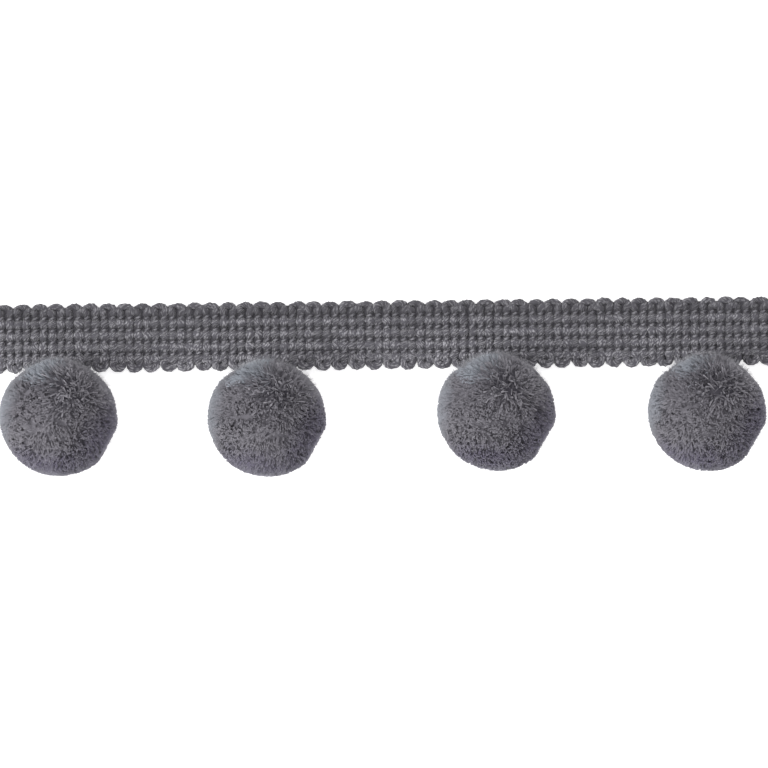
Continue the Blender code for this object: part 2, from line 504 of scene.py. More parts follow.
@dataclass
class Sweep:
    """Several cords of one kind, swept along their routes into one mesh."""

    name: str
    section: PliedSection
    routes: list[Route]
    twist_length: float  # in which the plies go once around
    twist_scatter: float = 0.0  # how far the twist wanders, as a share of itself
    wobble: float = 0.0  # how far the surface is uneven
    bake_columns: int = 16
    rng: np.random.Generator = field(default_factory=lambda: np.random.default_rng(5))

    def curve_mesh(self) -> Mesh:
        """Sweep the section along the routes with a bevelled curve.

        Returns:
            The open tubes.
        """
        profile = bpy.data.curves.new(self.name + "_section", "CURVE")
        profile.dimensions = "2D"
        ring = profile.splines.new("POLY")
        ring.points.add(self.section.sides - 1)
        ring.use_cyclic_u = True
        for point, (x, y) in zip(ring.points, self.section.outline()):
            point.co = (x, y, 0.0, 1.0)
        profile_object = add_object(profile.name, profile)

        curve = bpy.data.curves.new(self.name + "_route", "CURVE")
        curve.dimensions = "3D"
        curve.twist_mode = "Z_UP"
        curve.bevel_mode = "OBJECT"
        curve.bevel_object = profile_object
        for route in self.routes:
            spline = curve.splines.new("POLY")
            spline.points.add(len(route.points) - 1)
            places = np.concatenate([route.points, np.ones((len(route.points), 1))], 1)
            spline.points.foreach_set("co", places.ravel())
            spline.points.foreach_set("radius", route.radii)
            spline.points.foreach_set("tilt", self.turns(route))
        curve_object = add_object(curve.name, curve)
        graph = bpy.context.evaluated_depsgraph_get()
        mesh = bpy.data.meshes.new_from_object(curve_object.evaluated_get(graph))
        bpy.data.objects.remove(curve_object)
        bpy.data.objects.remove(profile_object)
        return mesh

    def turns(self, route: Route) -> Points:
        """Give the angle by which the section is turned at each point of a route.

        Args:
            route: the cord's middle line.

        Returns:
            The angles, which wander where the cord is unevenly twisted.
        """
        run = route.run()
        steps = np.diff(run, prepend=0.0)
        knots = np.arange(0.0, run[-1] + self.twist_length, self.twist_length / 4.0)
        rates = 1.0 + self.twist_scatter * self.rng.uniform(-1.0, 1.0, len(knots))
        rate = np.interp(run, knots, rates)
        return np.cumsum(steps * rate) / self.twist_length * FULL_TURN

    def mesh(self) -> Mesh:
        """Make the cords' mesh with its attributes, its bake map and closed ends.

        Returns:
            One mesh that holds every cord as a closed tube.
        """
        mesh = self.curve_mesh()
        mesh.name = self.name
        sides = self.section.sides
        rings = sum(len(route.points) for route in self.routes)
        if len(mesh.vertices) != rings * sides:
            raise ValueError(f"{self.name}: {len(mesh.vertices)} points, not {rings * sides}")

        run = np.concatenate([route.run() for route in self.routes])
        radii = np.concatenate([route.radii for route in self.routes])
        painted_light = np.concatenate([route.painted_light for route in self.routes])
        strand = np.empty((rings, sides, 3))
        strand[:, :, :2] = self.section.outline()[None] * radii[:, None, None] / MM
        strand[:, :, 2] = run[:, None] / MM
        set_attribute(mesh, "strand", "FLOAT_VECTOR", strand)
        set_attribute(mesh, "painted_light", "FLOAT", np.repeat(painted_light, sides))
        self.shake(mesh, rings)
        self.lay_out_bake_map(mesh, rings)
        return closed(mesh)

    def shake(self, mesh: Mesh, rings: int) -> None:
        """Make the surface uneven, ply by ply.

        Args:
            mesh: the open tubes.
            rings: how many rings they have.
        """
        places = read_points(mesh).reshape(rings, self.section.sides, 3)
        middle = places.mean(axis=1, keepdims=True)
        dents = self.rng.normal(0.0, 1.0, (rings, self.section.plies))
        dents = np.repeat(dents, self.section.points_per_ply, axis=1)
        places += unit(places - middle) * (dents * self.wobble)[:, :, None]
        mesh.vertices.foreach_set("co", places.ravel())

    def lay_out_bake_map(self, mesh: Mesh, rings: int) -> None:
        """Lay the tubes out flat in strips, side by side, in the bake map.

        Args:
            mesh: the open tubes, whose points run ring by ring.
            rings: how many rings they have.
        """
        sides = self.section.sides
        corners = np.empty(len(mesh.loops), dtype=np.int64)
        mesh.loops.foreach_get("vertex_index", corners)
        ring, side = np.divmod(corners.reshape(-1, 4), sides)
        wraps = (side.max(axis=1) == sides - 1) & (side.min(axis=1) == 0)
        side = np.where(wraps[:, None] & (side == 0), sides, side)
        rings_per_column = math.ceil(rings / self.bake_columns)
        column = ring.min(axis=1, keepdims=True) // rings_per_column
        along = (ring - column * rings_per_column) / rings_per_column
        u = (column + 0.04 + 0.92 * side / sides) / self.bake_columns
        v = 0.01 + 0.97 * along
        bake = mesh.uv_layers.new(name="OFBake")
        bake.uv.foreach_set("vector", np.stack([u, v], 2).ravel())


def flatten(mesh: Mesh, middle: float, share: float, low: float) -> None:
    """Press a mesh towards a level, as yarn flattens in a braid.

    Args:
        mesh: the mesh.
        middle: the level towards which it is pressed.
        share: how much of its height is left.
        low: the lowest level that it may reach.
    """
    places = read_points(mesh)
    places[:, 2] = np.maximum(middle + (places[:, 2] - middle) * share, low)
    mesh.vertices.foreach_set("co", places.ravel())
    mesh.update()


def closed(mesh: Mesh) -> Mesh:
    """Close the open ends of tubes, point the faces outwards and shade them smooth.

    Args:
        mesh: the open tubes.

    Returns:
        The same mesh.
    """
    bm = bmesh.new()
    bm.from_mesh(mesh)
    rims = [edge for edge in bm.edges if edge.is_boundary]
    bmesh.ops.holes_fill(bm, edges=rims, sides=0)
    bmesh.ops.recalc_face_normals(bm, faces=bm.faces)
    bm.to_mesh(mesh)
    bm.free()
    mesh.shade_smooth()
    return mesh


# --- Braid -------------------------------------------------------------------


@dataclass(frozen=True)
class LoopShape:
    """How the cord turns at one edge of the braid."""

    radius: float  # of the cord at the crest
    half_width: float  # of the middle line where the loop is widest
    arch: float  # from there to the crest
    neck: float  # from there to where the runs are straight again
    height: float  # of the middle line at the crest

    def offsets(self, straight: float, shortening: float, spread: float) -> Points:
        """Give the middle line from the straight run to the crest.

        Args:
            straight: how far the run lies from the loop's middle.
            shortening: how far the crest falls short.
            spread: the loop's own width, as a share of the usual one.

        Returns:
            Rows of the distance from the loop's middle, the depth below the full crest,
            and the share of the way from the run to the crest.
        """
        angle = np.linspace(0.0, math.pi / 2.0, 7)
        half_width = self.half_width * spread
        arch_out = half_width * np.cos(angle)
        arch_deep = self.arch * (1.0 - np.sin(angle))
        share = np.linspace(0.0, 1.0, 5)[:-1]
        neck_out = blend(straight, half_width, smooth_step(share, 0.0, 1.0))
        neck_deep = self.arch + self.neck * (1.0 - share)
        out = np.concatenate([neck_out, arch_out])
        deep = np.concatenate([neck_deep, arch_deep])
        way = 1.0 - deep / deep[0]
        return np.stack([out, deep + shortening * way, way], 1)


@dataclass
class Braid:
    """The braid: one cord in loops up and down, bound by four rows of twined thread.

    A radius or painted light that is a pair is for the lowest row and the highest, and
    changes evenly between. The places in millimetres lie below each row, and the knots above
    it too.
    """

    low: Vector
    high: Vector
    loops: int = 51
    bulge_radius: Pair = (1.84 * MM, 1.60 * MM)
    groove_radius: float = 0.82 * MM
    bound_radius: float = 0.96 * MM
    leg_radius: float = 1.17 * MM  # above the highest row
    bulge_places_mm: tuple[float, ...] = (0.0, 0.3, 0.6, 1.0, 1.5, 1.95, 2.2, 2.45, 2.75, 3.09)
    bulge_shares: tuple[float, ...] = (0.0, 0.14, 0.6, 0.92, 1.0, 0.8, 0.3, -0.6, -1.0, 0.0)
    # A share of 1 is a full bulge, 0 is the bound cord and -1 is the pinched one.
    knots_mm: tuple[float, ...] = (-1.95, -1.5, -1.0, -0.6, -0.28, 0.0, 0.34, 0.64, 0.89)
    cord_height: float = 1.2 * MM
    flatness: float = 0.82  # of the cord, its height as a share of its width
    cord_floor: float = 0.06 * MM
    cord_twist: float = 9.0 * MM
    cut_gap: float = 0.35 * MM  # from a cut end of the cord to the braid's edge
    cut_taper: float = 0.8
    cut_steps: int = 6
    groove_dip: float = 0.45 * MM
    leg_start: Pair = (0.5 * MM, 1.1 * MM)  # above the highest row
    crest_start: Pair = (1.2 * MM, 2.4 * MM)  # beyond the outer rows
    # Painted light of the cord: painted shade in the grooves above each row and towards the
    # highest row, light at the bulges, painted shade on the upper loops, and a little on the
    # lower.
    upper_painted_light: float = 0.42
    upper_shade: float = 0.3  # how much of it is left just above the highest row
    upper_shade_end: Pair = (0.3 * MM, 1.7 * MM)  # where it starts to lighten and is full
    groove_painted_light: Pair = (0.34, 0.0)
    ridge_painted_light: Pair = (1.0, 0.67)
    lower_painted_light: float = 0.88
    # painted light of the sheet, darker towards the highest row
    ground_painted_light: Pair = (0.85, 0.22)
    unevenness: float = 0.07  # of the cord's radius
    tone_unevenness: float = 0.09  # of the cord's painted light, as random tone
    points_per_lump: int = 4
    most_uneven: float = 1.5  # of a lump, as a multiple of the usual one
    peak_place: float = 1.3 * MM  # of a bulge's widest and lightest part, below its row
    row_count: int = 4
    row_pitch: float = 3.09 * MM
    row_shift: float = 0.53 * MM
    loop_shapes: dict[Edge, LoopShape] = field(
        default_factory=lambda: {
            Edge.UPPER: LoopShape(0.85 * MM, 1.66 * MM, 0.98 * MM, 1.1 * MM, 1.0 * MM),
            Edge.LOWER: LoopShape(1.14 * MM, 1.36 * MM, 1.26 * MM, 0.9 * MM, 1.15 * MM),
        }
    )
    upper_reach: float = 0.16 * MM  # of the upper crests past the usual place
    crest_shift: float = 0.28 * MM  # the most by which a crest lies aside
    lower_shift_share: float = 0.6
    crest_scatter: float = 0.1 * MM  # the most by which a crest falls short or reaches on
    loop_spread: Pair = (0.88, 1.02)  # the least and the most, as a share of the usual width
    run_shift: float = 0.13 * MM
    run_drift: float = 0.05 * MM
    thread_radius: float = 0.31 * MM
    thread_sway: float = 0.38 * MM
    thread_drift: float = 0.16 * MM
    thread_inset: float = 0.02 * MM  # from the ends of the braid
    thread_fullness: Pair = (0.8, 0.3)  # where it is hidden, and what is added where it shows
    thread_unevenness: float = 0.12
    thread_steepness: float = 1.4  # of its humps
    thread_low: float = 0.55 * MM
    thread_high: float = 2.12 * MM
    shown_thread_painted_light: Pair = (1.0, 0.6)  # painted light of its parts that show over the cord
    hidden_thread_painted_light: Pair = (0.34, 0.08)  # painted light of its parts under the cord, which carry painted shade
    thread_steps: int = 8
    ground_low: float = 0.6 * MM
    ground_high: float = 1.45 * MM
    ground_inset: Pair = (0.5 * MM, 0.8 * MM)  # along the braid and across
    ground_scallop: dict[Edge, float] = field(
        default_factory=lambda: {Edge.LOWER: 1.3 * MM, Edge.UPPER: 0.15 * MM}
    )
    ground_fall: float = 0.45 * MM  # of its face towards the edges
    ground_edge: Pair = (0.72, 0.95)  # where it falls, as shares of the way to an edge
    ground_wave: Pair = (0.45, 0.75)  # of its painted light: the least, and what is added
    ground_lag: float = 0.4 * MM  # of its lightest part below the cord's
    seed: int = 3

    def __post_init__(self) -> None:
        """Work out what follows from the solid's box."""
        self.length = self.high.x - self.low.x
        self.width = self.high.y - self.low.y
        self.middle = (self.high.y + self.low.y) / 2.0
        self.run_pitch = self.length / self.loops / 2.0
        self.rng = np.random.default_rng(self.seed)

    def row_places(self) -> Points:
        """Give where the binding rows lie across the braid, from its middle."""
        rows = np.arange(self.row_count) - (self.row_count - 1) / 2.0
        return self.row_shift + rows * self.row_pitch

    def by_row(self, across: Points, pair: Pair) -> Points:
        """Give a value that changes evenly from the lowest row to the highest."""
        return np.interp(across, self.row_places()[[0, -1]], pair)

    def crest(self, edge: Edge) -> float:
        """Give where the cord's middle line turns at an edge, from the braid's middle."""
        return edge.value * (self.width / 2.0 - self.loop_shapes[edge].radius)

    def half_loop(
        self, edge: Edge, run_x: float, crest_x: float, shortening: float, spread: float
    ) -> Points:
        """Lead the cord from a straight run to the crest of one of its loops.

        Args:
            edge: the edge at which the loop turns.
            run_x: where the run lies along the braid.
            crest_x: where the crest lies along the braid.
            shortening: how far the crest falls short.
            spread: the loop's own width, as a share of the usual one.

        Returns:
            Rows of the place along, the place across and the height.
        """
        shape = self.loop_shapes[edge]
        side = math.copysign(1.0, run_x - crest_x)
        out, deep, way = shape.offsets(abs(run_x - crest_x), shortening, spread).T
        across = self.crest(edge) - edge.value * deep
        height = blend(self.cord_height, shape.height, way)
        return np.column_stack([crest_x + side * out, across, height])

    def cut_end(self, edge: Edge, run_x: float) -> Points:
        """Lead the cord from a straight run to its cut end, just short of an edge.

        Args:
            edge: the edge near which the cord ends.
            run_x: where the run lies along the braid.

        Returns:
            Rows of the place along, the place across and the height.
        """
        shape = self.loop_shapes[edge]
        start = self.crest(edge) - edge.value * (shape.arch + shape.neck)
        end = edge.value * (self.width / 2.0 - self.cut_gap)
        across = np.linspace(start, end, self.cut_steps)
        return np.column_stack(np.broadcast_arrays(run_x, across, self.cord_height))

    def whole_run(self, run_x: float, first: Points, last: Points) -> Points:
        """Lead the cord through one run, between the half loops at its two ends.

        Args:
            run_x: where the run lies along the braid.
            first: the half loop behind it, from the run.
            last: the half loop ahead of it, from the run.

        Returns:
            Rows of the place along, the place across and the height.
        """
        low, high = sorted((first[0, 1], last[0, 1]))
        across = (self.row_places()[:, None] + np.array(self.knots_mm)[None] * MM).ravel()
        across = across[(across > low) & (across < high)]
        if first[0, 1] > last[0, 1]:
            across = across[::-1]
        aside, above = self.rng.normal(0.0, 1.0, 2) * self.run_drift
        along = run_x + aside * np.sin(np.linspace(0.0, FULL_TURN, len(across)))
        line = np.column_stack(np.broadcast_arrays(along, across, self.cord_height + above))
        return np.concatenate([first[::-1], line, last])

    def cord_route(self) -> Route:
        """Lead the cord up and down from one cut end to the other.

        Returns:
            The cord's route along the whole braid.
        """
        count = self.loops + 2
        shift = {edge: self.rng.uniform(-1.0, 1.0, count) * self.crest_shift for edge in Edge}
        short = {edge: self.rng.uniform(-1.0, 1.0, count) * self.crest_scatter for edge in Edge}
        spread = {edge: self.rng.uniform(*self.loop_spread, count) for edge in Edge}
        shift[Edge.LOWER] *= self.lower_shift_share
        short[Edge.UPPER] -= self.upper_reach
        runs = self.loops * 2
        points = []
        for run in range(runs):
            x = self.low.x + (run + 0.5) * self.run_pitch + self.rng.normal(0.0, self.run_shift)
            edges = (Edge.LOWER, Edge.UPPER) if run % 2 == 0 else (Edge.UPPER, Edge.LOWER)
            halves = []
            for edge, loop in zip(edges, (run, run + 1)):
                if loop in (0, runs):
                    halves.append(self.cut_end(edge, x))
                    continue
                number = (loop + 1) // 2
                crest_x = self.low.x + loop * self.run_pitch + shift[edge][number]
                own = short[edge][number], spread[edge][number]
                halves.append(self.half_loop(edge, x, crest_x, *own))
            whole = self.whole_run(x, *halves)
            points.append(whole if run == 0 else whole[1:])
        route = np.concatenate(points)

        radii, painted_light = self.fullness(route[:, 1])
        lumps = self.rng.normal(0.0, 1.0, len(route) // self.points_per_lump + 2)
        places = np.arange(len(route)) / self.points_per_lump
        uneven = np.interp(places, np.arange(len(lumps)), lumps)
        radii *= 1.0 + self.unevenness * np.clip(uneven, -self.most_uneven, self.most_uneven)
        radii[[0, -1]] *= self.cut_taper
        painted_light = np.clip(painted_light * (1.0 + self.tone_unevenness * uneven), 0.0, 1.0)
        pinched = (self.bound_radius - radii) / (self.bound_radius - self.groove_radius)
        route[:, 2] -= self.groove_dip * np.clip(pinched, 0.0, 1.0)
        route[:, 1] += self.middle
        return Route(route, radii, painted_light)

    def fullness(self, across: Points) -> tuple[Points, Points]:
        """Give how full the cord is: puffed below each row of thread, pinched above it.

        Args:
            across: the places across the braid, from its middle.

        Returns:
            The cord's radius and its painted light at each place.
        """
        rows = self.row_places()
        below = np.mod(rows[-1] - across, self.row_pitch)
        share = np.interp(below, np.array(self.bulge_places_mm) * MM, self.bulge_shares)
        puffed = blend(self.bound_radius, self.by_row(across, self.bulge_radius), share)
        pinched = self.bound_radius + share * (self.bound_radius - self.groove_radius)
        radius = np.where(share > 0.0, puffed, pinched)
        # painted shade in the grooves and towards the highest row, painted light at the bulges
        groove = self.by_row(across, self.groove_painted_light)
        ridge = self.by_row(across, self.ridge_painted_light)
        painted_light = blend(groove, ridge, self.wave(across, self.peak_place))

        above = across - rows[-1]
        upper = smooth_step(above, *self.leg_start)
        crest = smooth_step(above, *self.crest_start)
        leg = blend(self.leg_radius, self.loop_shapes[Edge.UPPER].radius, crest)
        # painted shade on the upper loops, deepest just above the highest row
        unshaded = smooth_step(above, *self.upper_shade_end)
        lit = self.upper_painted_light * blend(self.upper_shade, 1.0, unshaded)
        radius = blend(radius, leg, upper)
        painted_light = blend(painted_light, lit, upper)
        lower = smooth_step(rows[0] - across, *self.crest_start)
        radius = blend(radius, self.loop_shapes[Edge.LOWER].radius, lower)
        return radius, blend(painted_light, self.lower_painted_light, lower)

    def wave(self, across: Points, peak_place: float) -> Points:
        """Give a wave across the rows that is 1 at a distance below each row and 0 between.

        Args:
            across: the places across the braid, from its middle.
            peak_place: the distance.

        Returns:
            The wave at each place.
        """
        below = np.mod(self.row_places()[-1] - across, self.row_pitch)
        return 0.5 + 0.5 * np.cos((below - peak_place) / self.row_pitch * FULL_TURN)

    def thread_routes(self) -> list[Route]:
        """Twine two threads around the cord's runs in each binding row.

        Returns:
            Two routes for each row, from the lowest row to the highest.
        """
        routes = []
        count = self.loops * 2 * self.thread_steps + 1
        turn = np.linspace(0.0, self.loops * FULL_TURN, count)
        x = np.linspace(self.low.x + self.thread_inset, self.high.x - self.thread_inset, count)
        hidden, shown = self.thread_fullness
        for place in self.row_places():
            drift = self.slow_drift(count, self.thread_drift)
            darkest = self.by_row(place, self.hidden_thread_painted_light)
            lightest = self.by_row(place, self.shown_thread_painted_light)
            for start in (0.0, math.pi):
                phase = turn + start
                y = self.middle + place + drift - self.thread_sway * np.cos(phase)
                over = np.maximum(np.sin(phase), 0.0) ** self.thread_steepness
                z = blend(self.thread_low, self.thread_high, over)
                uneven = self.slow_drift(count, self.thread_unevenness)
                radii = self.thread_radius * (hidden + shown * over + uneven)
                # painted shade where the thread passes under the cord, and towards the highest
                # row
                painted_light = blend(darkest, lightest, over)
                inner = slice(2, -2)  # so that the cut ends lie inside the first and last runs
                line = np.stack([x, y, z], 1)[inner]
                routes.append(Route(line, radii[inner], painted_light[inner]))
        return routes

    def slow_drift(self, count: int, size: float) -> Points:
        """Draw a slowly wandering line.

        Args:
            count: how many values.
            size: the most by which it wanders.

        Returns:
            The values, around 0.
        """
        knots = self.rng.uniform(-size, size, self.loops * 2 + 2)
        return np.interp(np.linspace(0, len(knots) - 1, count), np.arange(len(knots)), knots)

    def ground_mesh(self) -> Mesh:
        """Make the sheet that the braid amounts to, inside its cords, which shows with painted
        shade in the holes between them.

        Returns:
            A thin closed sheet with scalloped edges and the cord's attributes.
        """
        bm = bmesh.new()
        bmesh.ops.create_grid(bm, x_segments=self.loops * 4, y_segments=24, size=0.5)
        length = self.length - 2.0 * self.ground_inset[0]
        width = self.width - 2.0 * self.ground_inset[1]
        for vertex in bm.verts:
            edge = Edge.LOWER if vertex.co.y < 0.0 else Edge.UPPER
            phase = vertex.co.x * self.loops * FULL_TURN
            notch = 0.5 - 0.5 * math.cos(phase) * edge.value
            short = abs(vertex.co.y) * 2.0 * notch * self.ground_scallop[edge]
            across = vertex.co.y * (width - 2.0 * short)
            vertex.co = (vertex.co.x * length, self.middle + across, self.ground_low)
        bmesh.ops.solidify(bm, geom=bm.faces, thickness=self.ground_low - self.ground_high)
        bmesh.ops.recalc_face_normals(bm, faces=bm.faces)
        for vertex in bm.verts:
            outer = smooth_step(abs(vertex.co.y - self.middle) / width * 2.0, *self.ground_edge)
            if vertex.co.z > self.ground_low + 0.1 * MM:
                vertex.co.z -= self.ground_fall * outer
        mesh = finished(bm, "braid_ground")
        across = read_points(mesh)[:, 1] - self.middle
        # painted light: darker towards the highest row, lightest a little below each bulge
        painted_light = self.by_row(across, self.ground_painted_light)
        least, added = self.ground_wave
        painted_light *= least + added * self.wave(across, self.peak_place + self.ground_lag)
        set_attribute(mesh, "strand", "FLOAT_VECTOR", np.ones((len(across), 3)))
        set_attribute(mesh, "painted_light", "FLOAT", painted_light)
        return mesh

    def build(self, cord: CordFinish, thread: CordFinish) -> None:
        """Args:
            cord: the finish of the looped cord.
            thread: the finish of the binding threads.
        """
        cord_material = cord.make()
        loops = Sweep(
            "braid_cord",
            PliedSection(plies=6, points_per_ply=2, depth=0.10),
            [self.cord_route()],
            twist_length=self.cord_twist,
            twist_scatter=2.0,
            wobble=0.08 * MM,
            bake_columns=17,
        )
        cord_mesh = loops.mesh()
        flatten(cord_mesh, self.cord_height, self.flatness, self.cord_floor)
        cord_piece = add_piece("braid_cord", cord_mesh, cord_material, "band")
        rows = Sweep(
            "binding_threads",
            PliedSection(plies=3, points_per_ply=2, depth=0.08),
            self.thread_routes(),
            twist_length=3.0 * MM,
            wobble=0.01 * MM,
            bake_columns=48,
        )
        rows_piece = add_piece("binding_threads", rows.mesh(), thread.make(), "band")
        ground = add_piece("braid_ground", self.ground_mesh(), cord_material, "band")


# --- Pompoms -----------------------------------------------------------------


class Patch(Enum):
    """Soft-edged patches of a pompom where its pile or its trimmed outline differs, and where
    painted light, shade and sheen lie.

    Each is a direction from the pompom's middle, and the cosines of the angles from it at
    which the patch starts and from which it is whole.
    """

    RIGHT = ((0.78, -0.45, 0.1), 0.35, 0.8)
    RIGHT_RIM = ((0.99, -0.08, 0.0), 0.72, 0.92)
    PRESSED_SPOT = ((-0.24, 0.84, 0.44), 0.90, 0.98)
    PRESSED_RIM = ((-0.97, 0.20, -0.05), 0.68, 0.98)
    LOWER_RIGHT = ((0.6, -0.6, 0.5), 0.8, 1.0)
    UPPER_RIGHT = ((0.55, 0.75, 0.35), 0.7, 1.0)
    UPPER_LEFT = ((-0.5, 0.35, 0.8), 0.75, 1.0)
    LOWER_RIM = ((-0.45, -0.88, -0.05), 0.9, 0.99)
    VIOLET_RIGHT = ((0.78, -0.45, 0.1), 0.45, 0.9)
    VIOLET_BELOW = ((-0.1, -0.99, 0.0), 0.45, 0.85)
    FLAT_CORNER = ((0.866, -0.5, 0.05), 0.92, 1.0)
    FULL_SIDE = ((-0.97, 0.24, 0.05), 0.7, 1.0)
    TRIMMED_TOP = ((0.62, 0.78, 0.0), 0.84, 0.97)
    TRIMMED_RIGHT = ((0.92, 0.39, 0.0), 0.78, 0.97)
    TRIMMED_LEFT = ((-0.53, 0.85, 0.0), 0.92, 0.99)

    def share(self, ends: Points, uneven: Points | float = 0.0) -> Points:
        """Give how far each direction lies in the patch, from 0 to 1.

        Args:
            ends: the directions.
            uneven: how far the patch's border strays there, as a cosine.

        Returns:
            The shares.
        """
        direction, start, full = self.value
        return smooth_step(ends @ unit(np.array(direction)) + uneven, start, full)


@dataclass(frozen=True)
class Ring:
    """A soft ring around the parting, with its angle from it, its width and its weight."""

    angle: float
    width: float
    weight: float

    def share(self, angles: Points) -> Points:
        """Give how strongly the ring works at each angle from the parting."""
        return self.weight * np.exp(-(((angles - self.angle) / self.width) ** 2))


@dataclass
class Strand:
    """One closed, three-sided fibre, whose copies make the pile."""

    end: FibreEnd

    def __post_init__(self) -> None:
        """Model the fibre once and keep its points and faces as arrays."""
        root, tip = self.end.value
        bm = bmesh.new()
        bmesh.ops.create_cone(
            bm, cap_ends=True, cap_tris=False, segments=3, radius1=root, radius2=tip, depth=1.0
        )
        bmesh.ops.translate(bm, verts=bm.verts, vec=(0.0, 0.0, 0.5))
        bmesh.ops.triangulate(bm, faces=bm.faces)
        bmesh.ops.recalc_face_normals(bm, faces=bm.faces)
        bm.verts.ensure_lookup_table()
        points = np.array([vertex.co[:] for vertex in bm.verts])
        self.along = points[:, 2]
        self.spokes = points[:, :2]
        self.faces = np.array([[vertex.index for vertex in face.verts] for face in bm.faces])
        bm.free()


@dataclass
class Pompom:
    """One pompom: a heart dark with painted shade, and a brushed, trimmed pile of cut yarn ends.
    """

    number: int
    centre: Vector
    strands: tuple[Strand, ...]  # the pointed one first
    radius: float = 15.2 * MM
    heart_radius: float = 13.8 * MM
    root_radius: float = 12.8 * MM
    trims: tuple[tuple[Patch, float], ...] = (  # the shares of the radius that are cut off
        (Patch.TRIMMED_TOP, 0.045),
        (Patch.TRIMMED_RIGHT, 0.028),
        (Patch.TRIMMED_LEFT, 0.03),
    )
    flat_corner: float = 0.065
    full_side: float = 0.012
    outline_waves: float = 0.006
    outline_margin: float = 0.02 * MM  # by which every fibre but a stray one stays inside
    floor_gap: float = 0.12 * MM  # under the lowest fibres
    yarn_ends: int = 10000
    fibres_per_end: int = 4
    fibre_radius: float = 0.18 * MM
    fibre_spread: Pair = (0.75, 1.2)  # of a fibre's radius, as a share
    fibre_scatter: float = 0.6  # around the yarn end's middle, as a share of its radius
    fibre_shortness: float = 0.09 * MM  # the usual one
    fibre_tone: float = 0.15
    end_radius: float = 0.30 * MM
    end_scatter: float = 0.35
    end_rounding: float = 0.2 * MM  # by which its outermost fibres fall short
    end_length: float = 0.11 * MM  # by which yarn ends differ
    end_tones: Pair = (0.28, 0.72)
    gather: float = 0.3
    cut_share: float = 0.38
    tuft_count: int = 1600
    tuft_gather: float = 0.22
    tuft_lean: float = 0.07
    tuft_tone: float = 0.14
    stray: float = 0.08
    stray_fibres: int = 2600
    stray_radius: float = 0.06 * MM
    stray_reach: float = 1.6 * MM
    stray_lengths: Pair = (0.2, 1.0)  # the least and the most, as a share of that
    stray_side: Pair = (0.4, 0.9)  # where the braid's side starts and is whole
    stray_elsewhere: float = 0.04  # how likely a fibre strays outside that side
    parting: Pair = (4.6 * MM, 8.4 * MM)  # from the centre, seen from above
    ruffled_ring: Ring = Ring(0.2, 0.28, 1.65)
    leaning_ring: Ring = Ring(0.36, 0.24, 0.09)
    # Painted shade, down to the roots' colour: around the parting, and on the right side but less
    # at its rim.
    dark_ring: Ring = Ring(0.0, 0.45, 1.0)
    calm: float = 0.42  # how ruffled the pile is elsewhere
    right_ruffle: float = 0.25
    right_shade: float = 0.75
    rim_light: float = 0.75  # how much of that shade the right rim is spared
    hidden_power: float = 2.5  # how few of the ends there get their roots' painted shade
    least_lean: float = 0.02
    pressed_lean: float = 0.16
    aside_lean: float = 0.2  # of a lean, the share that goes aside
    eddy_lean: float = 0.05
    eddy_waves: float = 5.0
    pressed_rim: float = 0.65  # how flat the rim beside the pressed spot is
    pressed_unevenness: float = 0.05
    pressed_calm: float = 0.7  # how much less the lengths differ where it is pressed
    pressed_evenness: float = 0.4  # and how much less the tones do
    softness: float = 0.8
    evenness: float = 0.5  # how little painted shade the roots get, compared with the tips
    heart_look: Triple = (0.4, 1.0 / 3.0, 0.76)  # tone, cast and painted light
    look_steps: int = 16  # of tone, and of cast, into which the pile is sorted
    # Painted light and shade on the tone: darker towards the braid, lighter at the parting,
    # lighter in patches on the right and darker at the upper left and along the lower rim.
    towards_braid: Triple = (-0.35, 0.9, 0.0)
    braid_painted_shade: float = -0.38
    parted_tone: float = 0.25
    parted_edge: Pair = (0.85, 1.0)  # where that starts and is whole, as for a patch
    # Violet painted shade along the lower rim, and on the right side, mottled at random.
    violet_below: float = 0.95
    violet_mottle: Pair = (0.5, 1.0)
    painted_light_patches: tuple[tuple[Patch, float], ...] = (
        (Patch.LOWER_RIGHT, 0.42),
        (Patch.UPPER_RIGHT, 0.3),
        (Patch.RIGHT_RIM, 0.35),
        (Patch.UPPER_LEFT, -0.22),
        (Patch.LOWER_RIM, -0.3),
    )

    def __post_init__(self) -> None:
        """Spread the yarn ends and tufts, and work out how the pile lies at each yarn end."""
        self.rng = np.random.default_rng(40 + self.number)
        self.eddies = self.rng.normal(0.0, self.eddy_waves, (2, 3))
        self.tufts = fibonacci_directions(self.tuft_count, self.rng, 0.5)
        self.ends = fibonacci_directions(self.yarn_ends, self.rng, self.end_scatter)
        self.owner = np.repeat(np.arange(self.yarn_ends), self.fibres_per_end)
        self.tuft = np.argmax(self.ends @ self.tufts.T, axis=1)
        self.pressed = self.pressed_share()
        self.ruffled = self.calm + self.ruffled_ring.share(self.parting_angle(self.ends))
        self.ruffled += self.right_ruffle * Patch.RIGHT.share(self.ends)
        self.lean = self.comb()

    def parting_direction(self) -> Points:
        """Give the direction of the point from which the pile is brushed."""
        x, y = self.parting
        return np.array([x, y, math.sqrt(self.radius**2 - x * x - y * y)]) / self.radius

    def parting_angle(self, ends: Points) -> Points:
        """Give the angle between each direction and the parting."""
        return np.arccos(np.clip(ends @ self.parting_direction(), -1.0, 1.0))

    def pressed_share(self) -> Points:
        """Give how flat the pile is pressed, along the upper left rim.

        Returns:
            The share at each yarn end, from 0 to 1.
        """
        first, second = self.ends @ self.eddies[0], self.ends @ self.eddies[1]
        uneven = self.pressed_unevenness * np.sin(first * 2.0) * np.cos(second * 2.0)
        rim = self.pressed_rim * Patch.PRESSED_RIM.share(self.ends, uneven)
        return np.maximum(Patch.PRESSED_SPOT.share(self.ends, uneven), rim)

